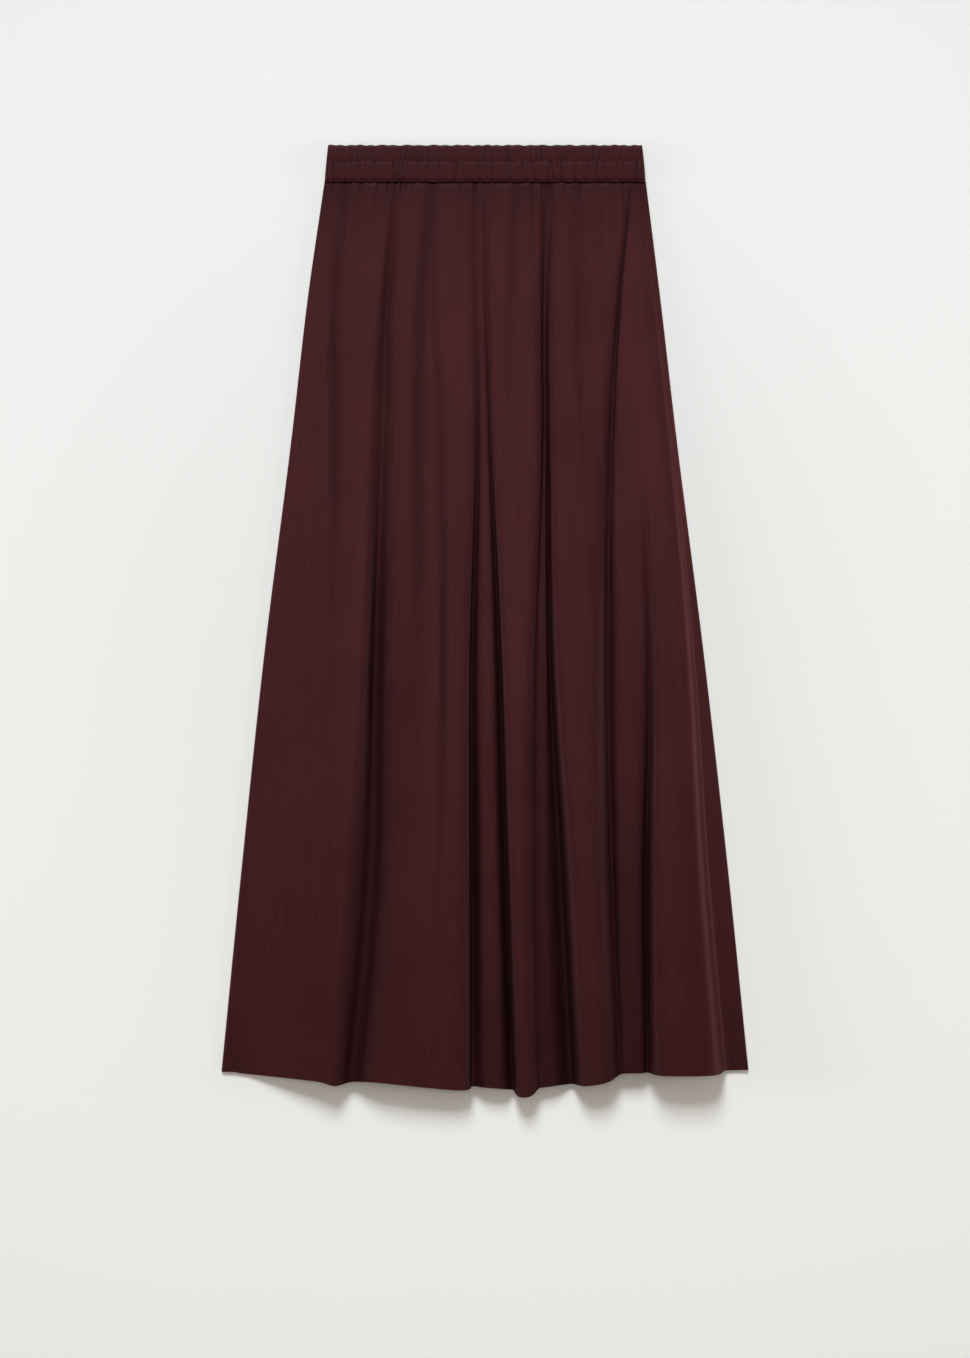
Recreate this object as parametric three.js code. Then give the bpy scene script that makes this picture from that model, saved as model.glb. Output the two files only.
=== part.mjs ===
// A gathered maxi skirt, laid out flat on its back with its panels lying on each other.
// Millimetres, +Z up, the waist towards +Y, the front of the skirt on top.
// Four sewn pieces: a front panel in deep lengthwise folds, a back panel that rests on the surface,
// and the two halves of a gathered waistband with two channels for its elastic.
import * as THREE from "three";

// Driving sizes
const clothWall = 1.2;
const seamGap = 0.3;
const bandHeight = 37.5;
const sideLength = 932; // waist seam to hem at the side seams
const curl = 1.8; // how far in from the side edge a panel has turned level
const edgeGrip = 3; // how far a leaning fold's edge stands out past the line it is drawn on
const seamPinch = 14; // distance below the waist seam over which the sewn-down cloth swells

// Stations down the panel, as shares of its length. The lists in the tables below stand at them.
const stations = [0, 0.13, 0.29, 0.53, 0.77, 1];
const outline = {
  left: [-168.3, -185.9, -203.2, -231.5, -255.2, -276.4],
  right: [168.6, 183.8, 201.1, 229.4, 254.6, 276.4],
};
// Top of the front panel in the valleys between its folds, where it lies on the back panel, and the
// height at which the two meet along the sides. Both rise to the thickness of the waistband.
const floorHeight = [3.9, 3, 2.7, 2.7, 2.7, 2.7];
const seamHeight = [2.2, 1.5, 1.35, 1.35, 1.35, 1.35];

// Lines between the folds, across the front from left to right.
// at: place as a share of the width; lift: height of the valley over the floor;
// tuck: how far the fold on its left (+) or right (-) leans over it; hem: extra length of cloth there.
const level = [0, 0, 0, 0, 0, 0];
const lines = [
  { name: "left side", hem: 2, at: level, lift: level, tuck: level },
  { name: "left foot", hem: 4.5, at: [0.013, 0.013, 0.013, 0.013, 0.02, 0.055], lift: level, tuck: level },
  { name: "left valley", hem: 11, at: [0.224, 0.225, 0.23, 0.243, 0.258, 0.238], lift: level, tuck: level },
  { name: "centre left edge", hem: 15.5, at: [0.471, 0.478, 0.484, 0.475, 0.476, 0.48],
    lift: [0, 0, 0.5, 0.5, 0.5, 0.5], tuck: [0, 1, 2, 4, 5, 4] },
  { name: "centre slot", hem: 20, at: [0.498, 0.507, 0.5175, 0.531, 0.539, 0.549],
    lift: [0, 0.3, 0.5, 1, 1.5, 2], tuck: [0, 0, -0.5, -1, -1, -1] },
  { name: "centre right edge", hem: 17, at: [0.688, 0.66, 0.648, 0.614, 0.601, 0.601],
    lift: [0, 0, 0.5, 2, 5, 7], tuck: [0, 0.5, 1, 2, 4, 4] },
  { name: "deep slot", hem: 14, at: [0.708, 0.676, 0.667, 0.647, 0.65, 0.664],
    lift: level, tuck: [0, 0, -0.5, -1.5, -2, -2] },
  { name: "right ridge edge", hem: 2.4, at: [0.945, 0.89, 0.832, 0.778, 0.752, 0.749],
    lift: level, tuck: [0, 1, 2, 3, 4, 4] },
  { name: "right valley", hem: 0.8, at: [0.961, 0.93, 0.908, 0.87, 0.826, 0.805],
    lift: [0.6, 4, 7, 6, 2, 0], tuck: [0, 0, 0, 0, -0.5, -1] },
  { name: "outer ridge edge", hem: 0.3, at: [0.98, 0.986, 0.987, 0.964, 0.949, 0.945],
    lift: level, tuck: [0, 0, 0, 0, 1, 2] },
  { name: "right side", hem: 0, at: [1, 1, 1, 1, 1, 1], lift: level, tuck: level },
];

// Folds, each between a line and the next. height: crest over the floor; rise and fall: shares of its
// width that its flanks take; hem: extra length on the left and right of its crest; columns: how many
// points go across it.
const folds = [
  { name: "left strip", height: level, rise: 0.4, fall: 0.4, hem: [2, 3], columns: 5 },
  { name: "left ridge", height: [1.4, 4.5, 7, 12, 17, 20], rise: 0.72, fall: 0.24, hem: [9.5, 14.5], columns: 17 },
  { name: "centre left ridge", height: [1.4, 5, 8, 12, 17, 21], rise: 0.2, fall: 0.12, hem: [8.5, 19.5], columns: 17 },
  { name: "centre strip", height: [0.5, 2.6, 4.5, 8, 11, 13], rise: 0.3, fall: 0.3, hem: [16, 17], columns: 8 },
  { name: "centre ridge", height: [1.4, 5, 8, 12, 15, 18], rise: 0.18, fall: 0.2, hem: [26, 26], columns: 14 },
  { name: "deep floor", height: [0, 0, 0, 0.5, 1.5, 2.5], rise: 0.4, fall: 0.4, hem: [16, 15], columns: 8 },
  { name: "right ridge", height: [1.4, 6, 10, 15, 21, 25], rise: 0.14, fall: 0.24, hem: [13, 11], columns: 16 },
  { name: "right floor", height: [0.6, 4, 7, 9, 12, 13], rise: 0.25, fall: 0.25, hem: [1, 1], columns: 7 },
  { name: "outer ridge", height: [0.8, 4.5, 8, 13, 22, 30], rise: 0.12, fall: 0.16, hem: [1.5, 1.5], columns: 14 },
  { name: "right strip", height: level, rise: 0.4, fall: 0.4, hem: [0, 0], columns: 6 },
];

// Shallow creases that run down the folds from the waist and fade out.
const creases = [
  { name: "left hip", width: 12, at: [0.07, 0.082, 0.112, 0.15, 0.17, 0.18], depth: [0.3, 2.2, 3, 1.2, 0, 0] },
  { name: "left thigh", width: 9, at: [0.32, 0.318, 0.328, 0.347, 0.36, 0.37],
    depth: [0.3, 2, 2.4, 1.2, 0, 0] },
  { name: "left knee", width: 6, at: [0.348, 0.356, 0.387, 0.404, 0.41, 0.41],
    depth: [0.3, 1, 1.4, 1.2, 0.8, 0.5] },
  { name: "right thigh", width: 8, at: [0.59, 0.578, 0.566, 0.56, 0.56, 0.56], depth: [0.3, 1.8, 1, 0, 0, 0] },
  { name: "right hip", width: 10, at: [0.775, 0.768, 0.765, 0.76, 0.76, 0.76], depth: [0.3, 1.6, 1, 0, 0, 0] },
];

// Folds of the hidden back, pressed up from the surface: place across at the waist and the hem,
// height at the hem, and half width.
const backFolds = [
  { waist: 0.12, hem: 0.16, height: 7, width: 15 },
  { waist: 0.34, hem: 0.42, height: 8, width: 17 },
  { waist: 0.575, hem: 0.572, height: 5, width: 9 },
  { waist: 0.72, hem: 0.698, height: 7, width: 12 },
  { waist: 0.975, hem: 0.875, height: 9, width: 16 },
];

const rows = [0, 0.012, 0.035, 0.075, 0.13, 0.19, 0.26, 0.34, 0.42, 0.5, 0.58, 0.66, 0.74, 0.82, 0.89, 0.95, 1];
const gatherHeight = 0.45;
const gatherWidth = 4.2; // columns narrower than this carry a lower gather
const gatherReach = 60; // distance below the waist seam over which the small gathers fade
const backRows = [0, 0.035, 0.1, 0.22, 0.4, 0.6, 0.8, 1];
const backColumns = 84;
const backGathers = 21;
const backGatherHeight = 1;

const band = {
  columns: 150,
  columnsPerGather: 3,
  thickness: 3.4,
  stitchLine: 0.53, // share of the height at which the row of stitching parts the two channels
  wave: 0.4,
  left: { bottom: -168, middle: -166.4, top: -164.4 },
  right: { bottom: 168, middle: 166.6, top: 164.6 },
};

const mix = THREE.MathUtils.lerp;

// The value at v of a list that stands at the stations, as a smooth curve through them.
function along(list, v) {
  let i = 0;
  while (i < stations.length - 2 && v > stations[i + 1]) i++;
  const slope = (a, b) => (list[b] - list[a]) / (stations[b] - stations[a]);
  const step = stations[i + 1] - stations[i];
  const here = slope(i, i + 1);
  const before = i > 0 ? (slope(i - 1, i) + here) / 2 : here;
  const after = i < stations.length - 2 ? (here + slope(i + 1, i + 2)) / 2 : here;
  const p = (v - stations[i]) / step;
  const q = 1 - p;
  return list[i] * q * q * (1 + 2 * p) + list[i + 1] * p * p * (3 - 2 * p)
    + step * p * q * (before * q - after * p);
}

// A point of the uniform cubic B-spline of some control points, whose ends are held.
function splinePoint(controls, u) {
  const last = controls.length - 1;
  const i = Math.min(Math.floor(u), last - 1);
  const f = u - i;
  const weights = [(1 - f) ** 3, 3 * f ** 3 - 6 * f * f + 4, -3 * f ** 3 + 3 * f * f + 3 * f + 1, f ** 3];
  const point = { x: 0, z: 0, hem: 0 };
  weights.forEach((weight, k) => {
    const c = controls[THREE.MathUtils.clamp(i - 1 + k, 0, last)];
    point.x += (weight * c.x) / 6;
    point.z += (weight * c.z) / 6;
    point.hem += (weight * c.hem) / 6;
  });
  return point;
}

// The control points of the front's section at v: six to a fold, from its left foot over its crest.
function frontControls(v) {
  const left = along(outline.left, v);
  const right = along(outline.right, v);
  const width = right - left;
  const floor = along(floorHeight, v);
  const inset = [curl, ...Array(lines.length - 2).fill(0), -curl];
  const feet = lines.map((line, i) => ({
    x: left + width * along(line.at, v) + inset[i],
    lift: along(line.lift, v),
    tuck: along(line.tuck, v),
    hem: line.hem,
  }));
  const controls = [];
  folds.forEach((fold, i) => {
    const [a, b] = [feet[i], feet[i + 1]];
    const across = b.x - a.x;
    const height = along(fold.height, v);
    const leanLeft = (edgeGrip * Math.max(0, -a.tuck)) / (Math.max(0, -a.tuck) + 2);
    const leanRight = (edgeGrip * Math.max(0, b.tuck)) / (Math.max(0, b.tuck) + 2);
    const put = (x, z, hem) => controls.push({ x, z: floor + z, hem });
    const [hemLeft, hemRight] = fold.hem;
    const middle = a.x + (0.5 + 0.5 * (fold.rise - fold.fall)) * across;
    put(a.x - a.tuck, a.lift, a.hem);
    put(a.x + 0.5 * fold.rise * across - leanLeft, mix(a.lift, height, 0.5), mix(a.hem, hemLeft, 0.4));
    put(a.x + fold.rise * across, mix(a.lift, height, 0.96), mix(a.hem, hemLeft, 0.8));
    put(middle, height, mix(hemLeft, hemRight, 0.5));
    put(b.x - fold.fall * across, mix(b.lift, height, 0.96), mix(b.hem, hemRight, 0.8));
    put(b.x - 0.5 * fold.fall * across + leanRight, mix(b.lift, height, 0.5), mix(b.hem, hemRight, 0.4));
  });
  const end = feet[feet.length - 1];
  controls.push({ x: end.x, z: floor, hem: end.hem });
  return { controls, left, right, width, floor };
}

// How far the creases move a point of the front down.
function creased(x, v, section) {
  let z = 0;
  for (const crease of creases) {
    const away = (x - section.left - section.width * along(crease.at, v)) / crease.width;
    z -= along(crease.depth, v) * Math.exp(-away * away);
  }
  return z;
}

// How high the small gathers stand at v: every other column rises by it, and those between sink.
function gatherAt(v, columnWidth) {
  const fade = Math.exp((-v * sideLength) / gatherReach);
  return gatherHeight * fade * THREE.MathUtils.clamp(columnWidth / gatherWidth, 0, 1) ** 2;
}

// The turned side edge of a panel, from the seam at the side to level cloth, as steps in from the edge.
// under is where the other face of the cloth runs beside each step.
function sideCurl(edgeX, inwards, seamZ, level, facing) {
  const steps = [
    { out: 0, up: 0, to: 0 },
    { out: 0.08, up: 0.45, to: 0.35 },
    { out: 0.36, up: 0.82, to: 0.7 },
  ];
  return steps.map(({ out, up, to }) => ({
    x: edgeX + inwards * out * curl,
    z: mix(seamZ, level.z, up),
    hem: level.hem,
    under: {
      x: edgeX + inwards * mix(clothWall, curl, to),
      z: mix(seamZ, level.z - facing * clothWall, to),
    },
  }));
}

// The outside of the front panel at v, from the left side to the right.
function frontSection(v) {
  const section = frontControls(v);
  const swell = 1 - Math.exp(-(v * sideLength + 4) / seamPinch);
  const middle = folds.flatMap((fold, i) => Array.from({ length: fold.columns },
    (_, k) => splinePoint(section.controls, 6 * (i + k / fold.columns))));
  middle.push(splinePoint(section.controls, section.controls.length - 1));
  const steps = middle.slice(1).map((point, n) => point.x - middle[n].x);
  middle.forEach((point, n) => {
    const gather = gatherAt(v, Math.min(steps[n - 1] ?? 0, steps[n] ?? 0));
    const inside = Math.min(1, Math.min(point.x - section.left, section.right - point.x) / 12);
    point.z = section.floor + (point.z - section.floor) * swell;
    point.z += inside * (creased(point.x, v, section) + (n % 2 ? gather : -gather));
  });
  const seamZ = along(seamHeight, v) + seamGap / 2;
  const leftCurl = sideCurl(section.left, 1, seamZ, middle[0], 1);
  const rightCurl = sideCurl(section.right, -1, seamZ, middle[middle.length - 1], 1);
  return [...leftCurl, ...middle, ...rightCurl.reverse()];
}

// The outside of the back panel at v, which faces down, from the left side to the right.
function backSection(v) {
  const left = along(outline.left, v);
  const right = along(outline.right, v);
  const width = right - left;
  const fade = Math.exp((-v * sideLength) / gatherReach);
  const middle = [];
  for (let k = 0; k <= backColumns; k++) {
    const t = k / backColumns;
    const x = left + curl + t * (width - 2 * curl);
    let z = 0;
    for (const fold of backFolds) {
      const centre = left + width * mix(fold.waist, fold.hem, v);
      const away = Math.min(1, Math.abs(x - centre) / fold.width);
      z += fold.height * Math.max(0, v - 0.12) * (1 - away * away) ** 2;
    }
    const gather = Math.max(0, -Math.cos(2 * Math.PI * backGathers * t)) ** 2;
    middle.push({ x, z: z + backGatherHeight * fade * gather, hem: 0 });
  }
  const seamZ = along(seamHeight, v) - seamGap / 2;
  const leftCurl = sideCurl(left, 1, seamZ, middle[0], -1);
  const rightCurl = sideCurl(right, -1, seamZ, middle[backColumns], -1);
  return [...leftCurl, ...middle, ...rightCurl.reverse()];
}

// A section's other face, one cloth away: below an outside that faces up, above one that faces down.
function lined(section, facing) {
  return section.map((point, i) => {
    if (point.under) return { ...point.under, hem: point.hem };
    const [before, after] = [section[i - 1], section[i + 1]];
    const [dx, dz] = [after.x - before.x, after.z - before.z];
    const step = (facing * clothWall) / Math.hypot(dx, dz);
    return { x: point.x + step * dz, z: point.z - step * dx, hem: point.hem };
  });
}

// A closed solid through rings of points that run along it, with its two ends closed by strips.
function loft(rings) {
  const around = rings[0].length;
  const positions = rings.flat().flatMap((p) => [p.x, p.y, p.z]);
  const faces = [];
  for (let r = 0; r < rings.length - 1; r++) {
    for (let i = 0; i < around; i++) {
      const a = r * around + i;
      const b = r * around + ((i + 1) % around);
      faces.push(a, b, b + around, a, b + around, a + around);
    }
  }
  const cap = (start, turned) => {
    for (let i = 0; i < around / 2 - 1; i++) {
      const [a, b, c, d] = [i, i + 1, around - 2 - i, around - 1 - i].map((n) => start + n);
      const quad = b === c ? [a, b, d] : [a, b, c, a, c, d];
      faces.push(...(turned ? quad.reverse() : quad));
    }
  };
  cap(0, true);
  cap((rings.length - 1) * around, false);
  const geometry = new THREE.BufferGeometry();
  geometry.setAttribute("position", new THREE.Float32BufferAttribute(positions, 3));
  geometry.setIndex(faces);
  geometry.computeVertexNormals();
  return geometry;
}

// A panel's solid from its sections at some rows down its length.
function panelGeometry(sectionAt, rowShares, facing) {
  const rings = rowShares.map((v) => {
    const outside = sectionAt(v);
    const inside = lined(outside, facing).reverse();
    const placed = [...outside, ...inside]
      .map(({ x, z, hem }) => ({ x, y: -seamGap - v * (sideLength + hem), z }));
    return facing > 0 ? placed.reverse() : placed;
  });
  return loft(rings);
}

// A point of the waistband's side edge, at a share of its height.
function bandSide(side, share) {
  const bow = side.middle - mix(side.bottom, side.top, 0.5);
  return mix(side.bottom, side.top, share) + 4 * bow * share * (1 - share);
}

// One half of the waistband: cloth folded over two rows of elastic, gathered along its length.
// outward is 1 for the front, which faces up, and -1 for the back, which lies on the surface.
function bandGeometry(outward) {
  const inner = band.thickness + (outward > 0 ? seamGap : 0);
  const outer = inner + outward * band.thickness;
  const profile = [
    { share: 0, out: outward > 0 ? 0.35 : 0.8, wave: 0.2 },
    { share: 0.045, out: 0.85, wave: 0.6 },
    { share: 0.28, out: 1, wave: 1 },
    { share: band.stitchLine, out: 0.74, wave: 0.9 },
    { share: 0.78, out: 1, wave: 1 },
    { share: 0.975, out: 0.8, wave: 0.7 },
    { share: 1, out: 0.4, wave: 0.2 },
    { share: 0.985, out: 0, wave: 0 },
    { share: 0.015, out: 0, wave: 0 },
  ];
  const rings = [];
  for (let k = 0; k <= band.columns; k++) {
    const t = k / band.columns;
    const fromEnd = Math.min(t, 1 - t) * (band.right.bottom - band.left.bottom);
    const rounding = Math.sqrt(1 - Math.max(0, 1 - (fromEnd + 0.4) / 3.5) ** 2);
    const gather = (Math.cos((2 * Math.PI * k) / band.columnsPerGather) - 1) * band.wave;
    rings.push(profile.map(({ share, out, wave }) => {
      const reach = (band.thickness * rounding + wave * gather * Math.min(1, fromEnd / 5)) * out;
      const crest = share === 1 ? gather * 0.8 : 0;
      return {
        x: mix(bandSide(band.left, share), bandSide(band.right, share), t),
        y: share * bandHeight + crest,
        z: inner + outward * reach,
      };
    }));
  }
  return loft(outward > 0 ? rings.map((ring) => ring.reverse()) : rings);
}

const satin = new THREE.MeshStandardMaterial({
  name: "satin-faced viscose", color: 0x3f1f21, roughness: 0.62, metalness: 0, side: THREE.DoubleSide,
});
const casing = new THREE.MeshStandardMaterial({
  name: "gathered casing", color: 0x3d1e20, roughness: 0.7, metalness: 0, side: THREE.DoubleSide,
});

function piece(name, geometry, material) {
  const mesh = new THREE.Mesh(geometry, material);
  mesh.name = name;
  return mesh;
}

const skirt = new THREE.Group();
skirt.add(
  piece("front_panel", panelGeometry(frontSection, rows, 1), satin),
  piece("back_panel", panelGeometry(backSection, backRows, -1), satin),
  piece("waistband_front", bandGeometry(1), casing),
  piece("waistband_back", bandGeometry(-1), casing),
);

// The origin is under the middle of the laid-out skirt, on the surface it lies on.
const box = new THREE.Box3().setFromObject(skirt, true);
const centre = box.getCenter(new THREE.Vector3());
skirt.position.set(-centre.x, -centre.y, -box.min.z);

export default skirt;
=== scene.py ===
# A gathered maxi skirt in wine-red satin-faced cloth, laid out flat on its back and seen from straight above.
# Sizes in the dictionaries are in millimetres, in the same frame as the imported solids:
# +Y towards the waistband, +Z up from the surface, +X to the right of the picture.
import math

import bpy
import numpy as np
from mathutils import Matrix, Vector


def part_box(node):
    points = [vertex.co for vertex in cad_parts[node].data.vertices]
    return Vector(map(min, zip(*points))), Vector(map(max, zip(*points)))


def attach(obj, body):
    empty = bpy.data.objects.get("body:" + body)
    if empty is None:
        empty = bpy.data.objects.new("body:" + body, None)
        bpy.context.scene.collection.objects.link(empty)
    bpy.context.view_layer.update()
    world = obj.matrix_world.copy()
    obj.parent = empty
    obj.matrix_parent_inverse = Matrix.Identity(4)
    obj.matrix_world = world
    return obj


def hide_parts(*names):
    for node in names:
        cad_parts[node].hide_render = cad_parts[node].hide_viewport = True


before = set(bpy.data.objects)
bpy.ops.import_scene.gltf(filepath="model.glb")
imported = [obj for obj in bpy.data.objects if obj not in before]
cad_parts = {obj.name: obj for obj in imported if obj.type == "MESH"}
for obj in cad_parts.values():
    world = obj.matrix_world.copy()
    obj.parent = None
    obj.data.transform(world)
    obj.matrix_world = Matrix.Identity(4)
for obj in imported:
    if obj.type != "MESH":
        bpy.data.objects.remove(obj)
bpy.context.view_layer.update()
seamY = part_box("waistband_front")[0].y * 1000  # the waist seam, where the panels hang from the band
print("frame loaded, waist seam at", round(seamY, 2), "mm")

# Stations down the panels as shares of their length, where the lists below stand.
stations = [0, 0.13, 0.29, 0.53, 0.77, 1]
level = [0, 0, 0, 0, 0, 0]

panels = {
    "length": 932,  # waist seam to hem at the side seams
    "left": [-168.3, -185.9, -203.2, -231.5, -255.2, -276.4],
    "right": [168.6, 183.8, 201.1, 229.4, 254.6, 276.4],
    "floor": [3.9, 3, 2.7, 2.7, 2.7, 2.7],  # top of the front in its valleys
    "seam": [2.2, 1.5, 1.35, 1.35, 1.35, 1.35],  # height of the side seams
    "curl": 1.8,  # how far in from the edge the cloth has turned level
    "cloth": 0.6,  # thickness
    "swell": 14,  # how soon below the seam the cloth has risen from it
    "grip": 3,  # how far a leaning fold stands out past its line
    "tuckIn": 1,  # how deep the cloth dips into the waist seam
}

# Lines between the folds: at is a share of the width, lift the valley's height, tuck how far the fold
# on the left (+) or right (-) leans over it, hem the extra length of cloth there.
foldLines = [
    {"name": "left side", "hem": 2, "at": level, "lift": level, "tuck": level},
    {"name": "left foot", "hem": 4.5, "at": [0.013, 0.013, 0.013, 0.013, 0.02, 0.055],
     "lift": level, "tuck": level},
    {"name": "left valley", "hem": 11, "at": [0.23, 0.226, 0.236, 0.252, 0.266, 0.246],
     "lift": [0, 0, 0, 0, 2, 5], "tuck": level},
    {"name": "centre left edge", "hem": 15.5, "at": [0.471, 0.478, 0.484, 0.475, 0.477, 0.48],
     "lift": [0.3, 2.2, 2, 0.5, 0.5, 5], "tuck": [0, 0.5, 1.5, 3, 4, 4]},
    {"name": "centre slot", "hem": 20, "at": [0.498, 0.507, 0.517, 0.5355, 0.5435, 0.553],
     "lift": [0, 2, 2, 1, 1.5, 2], "tuck": [0, 0, 0, -0.5, -1, -1]},
    {"name": "centre right edge", "hem": 17, "at": [0.688, 0.668, 0.655, 0.6195, 0.6035, 0.602],
     "lift": [0, 0.5, 1, 5, 8, 10], "tuck": [0, 0, 0.5, 0.5, 0.5, 0.5]},
    {"name": "deep slot", "hem": 14, "at": [0.708, 0.678, 0.663, 0.65, 0.658, 0.666],
     "lift": level, "tuck": [0, 0, 0, 0, -0.5, -0.5]},
    {"name": "right ridge edge", "hem": 2.4, "at": [0.955, 0.885, 0.832, 0.781, 0.76, 0.755],
     "lift": [0, 1, 2, 3, 6, 11], "tuck": [0, 0, 0, 0.5, 0.5, 0.5]},
    {"name": "right valley", "hem": 0.8, "at": [0.961, 0.93, 0.908, 0.878, 0.832, 0.807],
     "lift": [0.6, 4, 7, 6, 5, 7], "tuck": [0, 0, 0, 0, 0, -0.5]},
    {"name": "outer ridge edge", "hem": 0.3, "at": [0.98, 0.986, 0.989, 0.978, 0.959, 0.957],
     "lift": level, "tuck": [0, 0, 0, 0, 1, 2]},
    {"name": "right side", "hem": 0, "at": [1, 1, 1, 1, 1, 1], "lift": level, "tuck": level},
]

# Folds from one line to the next: crest height over the floor, shares of the width that the flanks
# take, extra length on the left and right of the crest, and how many columns of the mesh cross it.
foldTable = [
    {"name": "left strip", "height": level, "rise": 0.4, "fall": 0.4, "hem": (2, 3), "columns": 10},
    {"name": "left ridge", "height": [1.4, 4, 6, 12, 17, 20], "rise": 0.72,
     "fall": [0.1, 0.1, 0.13, 0.09, 0.17, 0.14], "hem": (9.5, 14.5), "columns": 68},
    {"name": "centre left ridge", "height": [1.4, 4.2, 6.5, 11.5, 17, 21],
     "rise": [0.1, 0.1, 0.15, 0.17, 0.22, 0.2], "fall": 0.08, "hem": (8.5, 19.5), "columns": 72},
    {"name": "centre strip", "height": [0.5, 2.6, 4.5, 8, 11, 13], "rise": 0.2, "fall": 0.22,
     "hem": (16, 17), "columns": 28},
    {"name": "centre ridge", "height": [1.4, 4.2, 6.5, 11, 15, 18], "rise": [0.1, 0.1, 0.1, 0.13, 0.2, 0.2],
     "fall": [0.1, 0.1, 0.12, 0.24, 0.36, 0.3], "hem": (26, 26), "columns": 50},
    {"name": "deep floor", "height": [0, 0.4, 1.5, 4.6, 7, 9], "rise": 0.2,
     "fall": [0.3, 0.3, 0.25, 0.25, 0.5, 0.5], "hem": (16, 15), "columns": 28},
    {"name": "right ridge", "height": [1.4, 4.8, 7.5, 14, 20, 22], "rise": [0.1, 0.1, 0.1, 0.12, 0.2, 0.2],
     "fall": [0.08, 0.08, 0.18, 0.22, 0.26, 0.26], "hem": (13, 11), "columns": 60},
    {"name": "right floor", "height": [0.6, 4, 7, 9, 12, 13], "rise": [0.12, 0.12, 0.12, 0.18, 0.18, 0.12],
     "fall": 0.16, "hem": (1, 1), "columns": 28},
    {"name": "outer ridge", "height": [0.8, 4.5, 8, 13, 21, 28], "rise": 0.13, "fall": 0.16,
     "hem": (1.5, 1.5), "columns": 56},
    {"name": "right strip", "height": level, "rise": 0.4, "fall": 0.4, "hem": (0, 0), "columns": 14},
]

# Creases that show in the picture: place across, depth, half width, and the share of its colour
# that the cloth loses there as painted shade; with a minus sign it gains, as a painted highlight on a crest or
# fold edge.
# The entries with no depth only paint: shade in the left valley, the left lap, the deep slot, the right lap and
# the right hip edge, and a highlight on the outer edge.
creases = [
    {"name": "left hip", "width": 5.5, "at": [0.07, 0.076, 0.114, 0.145, 0.15, 0.15],
     "depth": [0.4, 1.2, 1.4, 0.4, 0, 0], "share": [0.2, 0.32, 0.3, 0.07, 0, 0]},
    {"name": "left valley", "width": 6, "at": [0.23, 0.226, 0.236, 0.252, 0.266, 0.246],
     "depth": level, "share": [0, 0, 0.04, 0.12, 0.05, 0]},
    {"name": "left thigh", "width": 6, "at": [0.333, 0.3225, 0.329, 0.35, 0.36, 0.37],
     "depth": [0.5, 1.2, 1.4, 0.7, 0, 0], "share": [0.2, 0.32, 0.3, 0.1, 0.02, 0]},
    {"name": "left knee", "width": 4, "at": [0.345, 0.359, 0.391, 0.408, 0.409, 0.405],
     "depth": [0.3, 0.6, 0.6, 0.9, 0.4, 0.2], "share": [0.1, 0.22, 0.22, 0.44, 0.08, 0]},
    {"name": "left lap", "width": 20, "at": [0.33, 0.33, 0.33, 0.328, 0.33, 0.33],
     "depth": level, "share": [0, 0, 0.06, 0.19, 0.04, 0]},
    {"name": "right thigh", "width": 5, "at": [0.597, 0.579, 0.563, 0.56, 0.56, 0.56],
     "depth": [0.5, 0.9, 0.4, 0, 0, 0], "share": [0.16, 0.1, 0.04, 0, 0, 0]},
    {"name": "right thigh edge", "width": 5, "at": [0.7, 0.667, 0.657, 0.63, 0.6, 0.6],
     "depth": [0.5, 0.5, 0, 0, 0, 0], "share": [0.12, 0.02, 0, 0, 0, 0]},
    {"name": "deep slot", "width": 7, "at": [0.68, 0.67, 0.66, 0.65, 0.649, 0.652],
     "depth": level, "share": [0, 0, 0, 0, 0.36, 0.4]},
    {"name": "right lap", "width": 20, "at": [0.72, 0.72, 0.73, 0.72, 0.72, 0.72],
     "depth": level, "share": [0, 0, 0.07, 0.12, 0.05, 0]},
    {"name": "right hip", "width": 7, "at": [0.79, 0.778, 0.758, 0.76, 0.76, 0.76],
     "depth": [0.4, 0.9, 0.4, 0, 0, 0], "share": [0.08, 0.12, 0.03, 0, 0, 0]},
    {"name": "right hip edge", "width": 5, "at": [0.955, 0.885, 0.834, 0.781, 0.76, 0.757],
     "depth": level, "share": [0.1, 0, 0, 0, 0, 0]},
    # outer crest: a painted highlight where the share is below zero, painted shade where it is above
    {"name": "outer crest", "width": 13, "at": [0.93, 0.926, 0.918, 0.915, 0.91, 0.9],
     "depth": [0, -0.8, -1, 0, 0, 0], "share": [-0.04, -0.12, -0.13, 0.08, 0.12, 0.05]},
    {"name": "outer edge", "width": 5, "at": [1, 1, 1, 0.967, 0.948, 0.946],
     "depth": level, "share": [0, -0.15, -0.62, -0.28, -0.18, 0]},
]

backFolds = [
    {"waist": 0.12, "hem": 0.16, "height": 7, "width": 15},
    {"waist": 0.34, "hem": 0.42, "height": 8, "width": 17},
    {"waist": 0.575, "hem": 0.572, "height": 5, "width": 9},
    {"waist": 0.72, "hem": 0.698, "height": 7, "width": 12},
    {"waist": 0.975, "hem": 0.875, "height": 9, "width": 16},
]

gathers = {
    "seed": 11,
    "spacing": 6.4,  # between the small gathers under the band
    "depth": 0.8,
    "width": 1.7,
    "reach": 34,  # typical length below the seam
    "fineSpacing": 2.9,
    "fineDepth": 0.34,
    "fineWidth": 0.85,
    "fineReach": 20,
    "softCount": 34,  # long faint folds between the large ones
    "softDepth": 0.42,
    "softWidth": 5.5,
    "softReach": 330,
}

hem = {"width": 9, "thick": 0.45, "pucker": 0.16, "puckerPitch": 7}


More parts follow.
